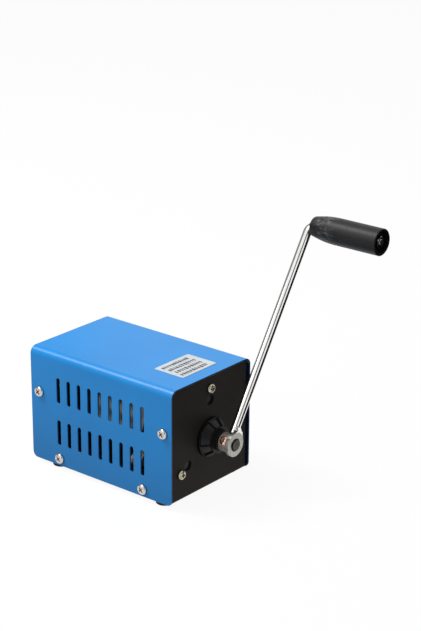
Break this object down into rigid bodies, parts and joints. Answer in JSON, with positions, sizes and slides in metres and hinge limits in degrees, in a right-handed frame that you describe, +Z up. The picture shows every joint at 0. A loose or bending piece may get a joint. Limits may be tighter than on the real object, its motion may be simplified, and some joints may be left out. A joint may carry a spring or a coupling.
{
  "type": "hand crank generator",
  "caption": "Box-shaped hand crank generator: slotted blue sheet-metal cover, black end panels, long chromed crank with a turning grip, planetary gearbox and a charging panel.",
  "frame": {"origin": "on the surface that the four feet stand on, under the middle of the case", "axes": "+X out of the crank panel along the crank shaft, +Z up, -Y towards the slotted side in front"},
  "size_m": [0.2095, 0.1323, 0.176],
  "materials": {
    "blue_paint": "satin blue powder coat",
    "black_paint": "satin black powder coat",
    "bright_screw": "nickel plated",
    "zinc_screw": "yellowish zinc plate",
    "black_rubber": "matt",
    "silver_label": "silver film",
    "black_plastic": "moulded black",
    "bronze": "sintered bronze",
    "cast_plate": "machined",
    "gear_steel": "machined and oiled",
    "gear_nylon": "moulded white nylon",
    "hub_steel": "dull turned steel",
    "arm_chrome": "bright chrome plate",
    "grip_plastic": "matt black, lightly scuffed",
    "can_steel": "zinc plated can",
    "magnet": "sintered ferrite",
    "lamination": "stacked laminations",
    "copper": "enamelled copper",
    "brass": "plain brass",
    "green_board": "green solder mask",
    "part_black": "moulded black",
    "part_red": "moulded red",
    "meter_red": "dark red window",
    "pot_metal": "plain"
  },
  "bodies": {
    "case": {"cover": "blue_paint", "chassis_base": "black_paint", "crank_panel": "black_paint", "charging_panel": "black_paint", "side_screws": "bright_screw", "feet": "black_rubber", "foot_screws": "zinc_screw", "info_label": "silver_label", "gearbox_housing": "black_plastic", "shaft_bush": "bronze", "panel_screws": "zinc_screw", "motor_plate": "cast_plate", "gearbox_screws": "zinc_screw", "ring_gear": "gear_steel", "motor_can": "can_steel", "motor_end_cap": "black_plastic", "motor_screws": "zinc_screw", "motor_magnets": "magnet", "motor_bearings": "bronze", "motor_brushes": "magnet", "motor_terminals": "brass", "regulator_board": "green_board", "board_standoffs": "can_steel", "board_screws": "zinc_screw", "board_capacitors": "part_black", "board_choke": "magnet", "regulator_chip": "part_black", "heat_sink": "cast_plate", "usb_ports": "can_steel", "usb_tongues": "part_black", "meter_bezel": "part_black", "meter_window": "meter_red", "voltage_pot": "part_black", "pot_nut": "bright_screw", "output_socket_red": "part_red", "output_socket_black": "part_black", "socket_sleeves": "brass", "socket_nuts": "bright_screw", "machine_lead_red": "part_red", "machine_lead_black": "part_black"},
    "crank": {"crank_shaft": "gear_steel", "crank_hub": "hub_steel", "clamp_screw": "bright_screw", "crank_arm": "arm_chrome", "grip_washer": "bright_screw", "grip_nut": "bright_screw", "planet_carrier": "gear_steel", "carrier_back_plate": "gear_steel", "planet_pins": "gear_steel"},
    "grip": {"grip": "grip_plastic"},
    "planet_1": {"planet_gear_1": "gear_nylon"},
    "planet_2": {"planet_gear_2": "gear_nylon"},
    "planet_3": {"planet_gear_3": "gear_nylon"},
    "rotor": {"sun_gear": "gear_steel", "rotor_shaft": "gear_steel", "rotor_core": "lamination", "rotor_windings": "copper", "commutator": "copper"},
    "knob": {"voltage_knob": "black_plastic", "pot_shaft": "pot_metal"}
  },
  "joints": [
    {"name": "crank_spin", "type": "hinge", "parent": "case", "child": "crank", "pos_m": [0, 0, 0.039], "axis": [1, 0, 0], "continuous": true},
    {"name": "grip_spin", "type": "hinge", "parent": "crank", "child": "grip", "pos_m": [0.1, 0.08145, 0.1671], "axis": [1, 0, 0], "continuous": true},
    {"name": "planet_1_spin", "type": "hinge", "parent": "crank", "child": "planet_1", "pos_m": [0.04, 0.00869, 0.05267], "axis": [1, 0, 0], "continuous": true},
    {"name": "planet_2_spin", "type": "hinge", "parent": "crank", "child": "planet_2", "pos_m": [0.04, -0.01619, 0.03969], "axis": [1, 0, 0], "continuous": true},
    {"name": "planet_3_spin", "type": "hinge", "parent": "crank", "child": "planet_3", "pos_m": [0.04, 0.00749, 0.02464], "axis": [1, 0, 0], "continuous": true},
    {"name": "rotor_spin", "type": "hinge", "parent": "case", "child": "rotor", "pos_m": [0, 0, 0.039], "axis": [1, 0, 0], "continuous": true},
    {"name": "voltage_turn", "type": "hinge", "parent": "case", "child": "knob", "pos_m": [-0.06, 0.019, 0.045], "axis": [-1, 0, 0], "range_deg": [-140, 140]}
  ],
  "couplings": [
    {"joint": "planet_1_spin", "follows": "crank_spin", "ratio": -2.5},
    {"joint": "planet_2_spin", "follows": "crank_spin", "ratio": -2.5},
    {"joint": "planet_3_spin", "follows": "crank_spin", "ratio": -2.5},
    {"joint": "rotor_spin", "follows": "crank_spin", "ratio": 6}
  ]
}
